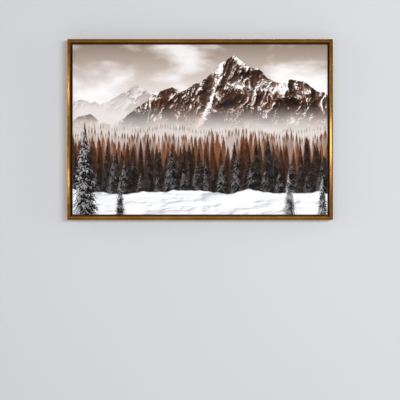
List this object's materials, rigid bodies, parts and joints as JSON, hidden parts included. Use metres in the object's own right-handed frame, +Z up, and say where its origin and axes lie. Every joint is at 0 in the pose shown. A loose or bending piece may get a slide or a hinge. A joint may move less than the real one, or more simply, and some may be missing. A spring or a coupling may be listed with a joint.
{
  "type": "framed wall picture",
  "caption": "Stretched canvas picture in a slim gilt floater frame, landscape format, with a sawtooth hanger and wall bumpers on the back.",
  "frame": {"origin": "the point on the wall plane straight behind the middle notch of the hanger, where the wall nail carries the picture", "axes": "+X along the picture's width, to the right as seen from the front; +Y out of the back, into the wall, so the picture faces -Y; +Z up"},
  "size_m": [0.635, 0.035, 0.4318],
  "materials": {
    "gilt_moulding": "satin gold foil on the face and outer side, dark brown paint inside the gap, bare wood behind",
    "pine": "planed, unfinished",
    "beech": "sawn, unfinished",
    "canvas_cloth": "primed cotton canvas, printed with a muted snowy landscape, matt",
    "zinc_plated_steel": "bright zinc plating",
    "rubber": "soft, matt"
  },
  "bodies": {
    "root": {"rail_top": "gilt_moulding", "rail_right": "gilt_moulding", "rail_bottom": "gilt_moulding", "rail_left": "gilt_moulding", "bar_top": "pine", "bar_right": "pine", "bar_bottom": "pine", "bar_left": "pine", "canvas": "canvas_cloth", "key_top_left_across": "beech", "key_top_left_upright": "beech", "key_top_right_across": "beech", "key_top_right_upright": "beech", "key_bottom_left_across": "beech", "key_bottom_left_upright": "beech", "key_bottom_right_across": "beech", "key_bottom_right_upright": "beech", "screw_top_1": "zinc_plated_steel", "screw_top_2": "zinc_plated_steel", "screw_right_1": "zinc_plated_steel", "screw_right_2": "zinc_plated_steel", "screw_bottom_1": "zinc_plated_steel", "screw_bottom_2": "zinc_plated_steel", "screw_left_1": "zinc_plated_steel", "screw_left_2": "zinc_plated_steel", "hanger": "zinc_plated_steel", "hanger_nail_left": "zinc_plated_steel", "hanger_nail_right": "zinc_plated_steel", "bumper_left": "rubber", "bumper_right": "rubber"}
  },
  "joints": []
}
